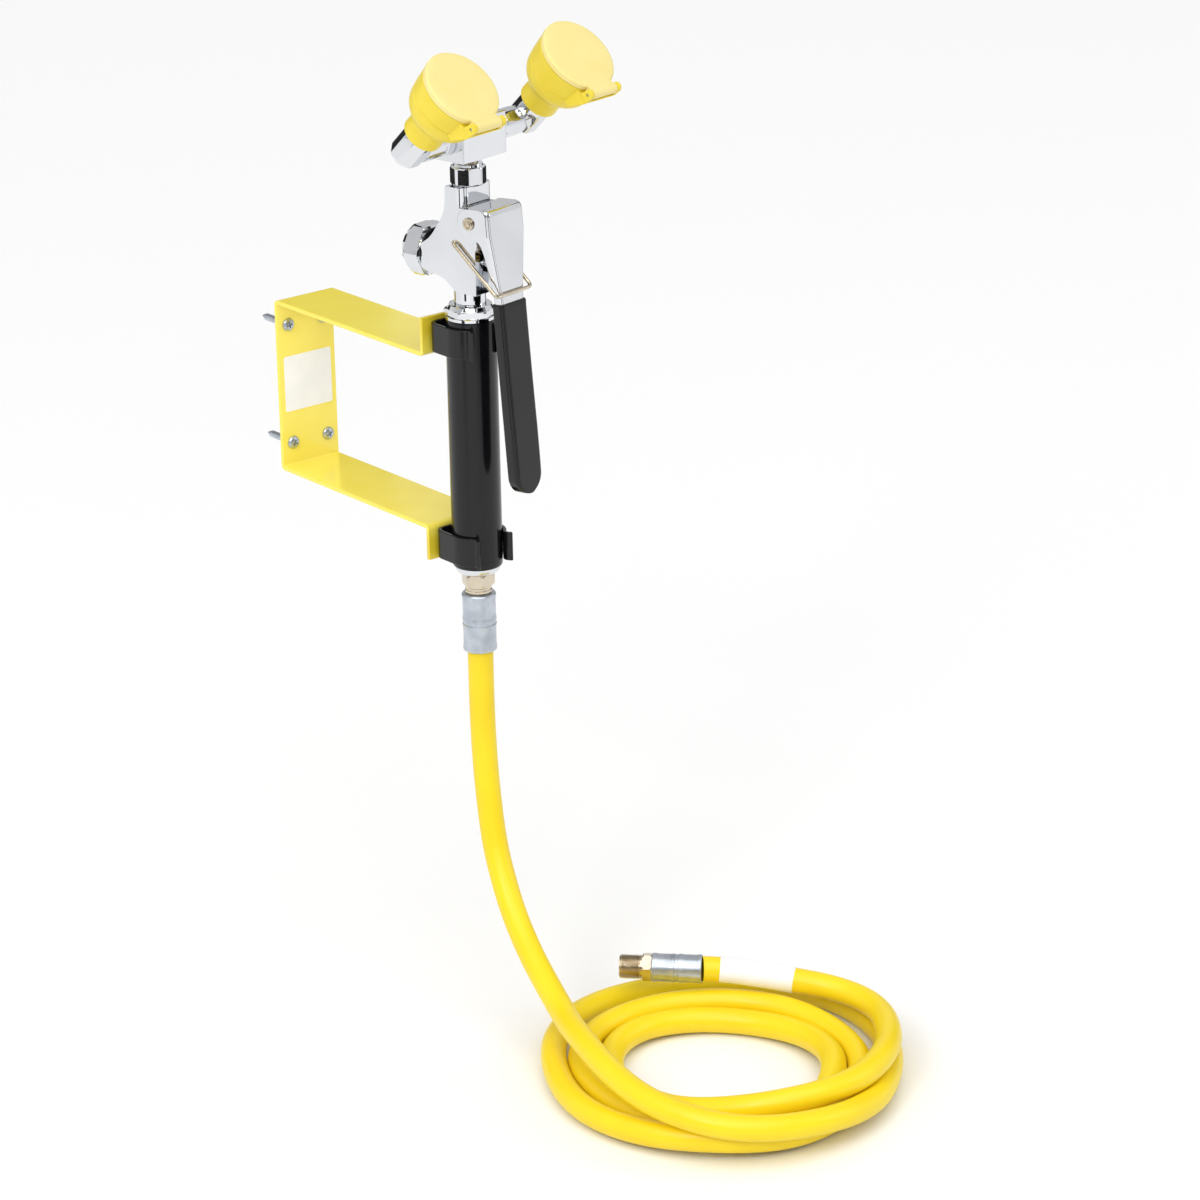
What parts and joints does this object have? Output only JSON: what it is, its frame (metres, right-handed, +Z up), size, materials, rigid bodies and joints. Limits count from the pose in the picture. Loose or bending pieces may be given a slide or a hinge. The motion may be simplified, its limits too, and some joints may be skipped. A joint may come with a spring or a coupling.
{
  "type": "wall-mounted emergency drench hose",
  "caption": "Wall-held emergency eye and body wash: twin capped spray heads on a squeeze valve and grip, clipped to a strap bracket, with its coiled supply hose.",
  "frame": {"origin": "centre of the four-screw pattern on the bracket's back face, which is the wall plane", "axes": "+Z up the wall, +Y into the wall, -Y into the room, X along the wall"},
  "size_m": [0.2576, 0.5447, 0.6885],
  "materials": {
    "yellow_coat": "satin powder coat",
    "yellow_plastic": "moulded plastic, soft sheen",
    "pale_yellow_plastic": "moulded plastic, soft sheen",
    "chrome": "polished chrome plate",
    "nickel": "warm nickel plate",
    "zinc": "zinc plate",
    "brass": "machined",
    "black_vinyl": "dipped vinyl, glossy",
    "black_rubber": "matt",
    "hose_yellow": "smooth thermoplastic rubber cover",
    "white_label": "film label",
    "spray_plastic": "moulded plastic"
  },
  "bodies": {
    "bracket": {"wall_bracket": "yellow_coat", "bracket_label": "white_label", "bracket_screws": "zinc", "upper_clip": "black_vinyl", "lower_clip": "black_vinyl", "upper_clip_rivet": "zinc", "lower_clip_rivet": "zinc"},
    "hand_unit": {"grip_tube": "zinc", "grip_sleeve": "black_rubber", "grip_end_bushing": "chrome", "locking_collar": "chrome", "hose_adaptor": "nickel", "adaptor_washer": "black_rubber", "grip_ferrule": "zinc", "valve_body": "chrome", "inlet_stub": "chrome", "valve_seat": "brass", "bonnet_cap": "chrome", "bonnet_washer": "black_rubber", "packing_nut": "chrome", "packing_ring": "black_rubber", "valve_spring": "zinc", "pivot_screw": "nickel", "pivot_nut": "nickel", "coupling_nut": "chrome", "block_nipple": "nickel", "tee_block": "chrome", "left_elbow": "chrome", "right_elbow": "chrome", "left_spray_head": "yellow_plastic", "right_spray_head": "yellow_plastic", "left_spray_plate": "spray_plastic", "right_spray_plate": "spray_plastic", "left_hinge_pin": "zinc", "right_hinge_pin": "zinc", "left_head_washer": "black_rubber", "right_head_washer": "black_rubber", "hose_drop": "hose_yellow", "hose_coil": "hose_yellow", "hose_tail": "hose_yellow", "tail_ferrule": "zinc", "inlet_fitting": "nickel", "hose_tag": "white_label"},
    "lever": {"squeeze_lever": "chrome", "lever_dip": "black_vinyl"},
    "stem": {"valve_stem": "brass", "stem_disc": "black_rubber", "stem_nut": "brass"},
    "bail": {"stay_open_bail": "nickel"},
    "left_cover": {"left_dust_cover": "pale_yellow_plastic"},
    "right_cover": {"right_dust_cover": "pale_yellow_plastic"}
  },
  "joints": [
    {"name": "hand_unit_pull", "type": "slide", "parent": "bracket", "child": "hand_unit", "axis": [0, -1, 0], "range_m": [0, 0.07], "deforming": ["upper_clip", "lower_clip"]},
    {"name": "lever_squeeze", "type": "hinge", "parent": "hand_unit", "child": "lever", "pos_m": [0.00295, -0.20874, 0.1568], "axis": [0.9848, 0.1736, 0], "range_deg": [0, 7], "stiffness_Nm_per_rad": 8, "springref_deg": -8.59, "deforming": ["valve_spring"]},
    {"name": "stem_push", "type": "slide", "parent": "hand_unit", "child": "stem", "axis": [-0.1736, 0.9848, 0], "range_m": [0, 0.0037], "deforming": ["valve_spring"]},
    {"name": "bail_swing", "type": "hinge", "parent": "hand_unit", "child": "bail", "pos_m": [0.00019, -0.19308, 0.1417], "axis": [0.9848, 0.1736, 0], "range_deg": [-22, 0]},
    {"name": "left_cover_hinge", "type": "hinge", "parent": "hand_unit", "child": "left_cover", "pos_m": [-0.04306, -0.27031, 0.23794], "axis": [0.9848, 0.1736, 0], "range_deg": [0, 115]},
    {"name": "right_cover_hinge", "type": "hinge", "parent": "hand_unit", "child": "right_cover", "pos_m": [0.06724, -0.25086, 0.23794], "axis": [0.9848, 0.1736, 0], "range_deg": [0, 115]}
  ],
  "couplings": [
    {"joint": "stem_push", "follows": "lever_squeeze", "m_per_rad": 0.0288}
  ]
}
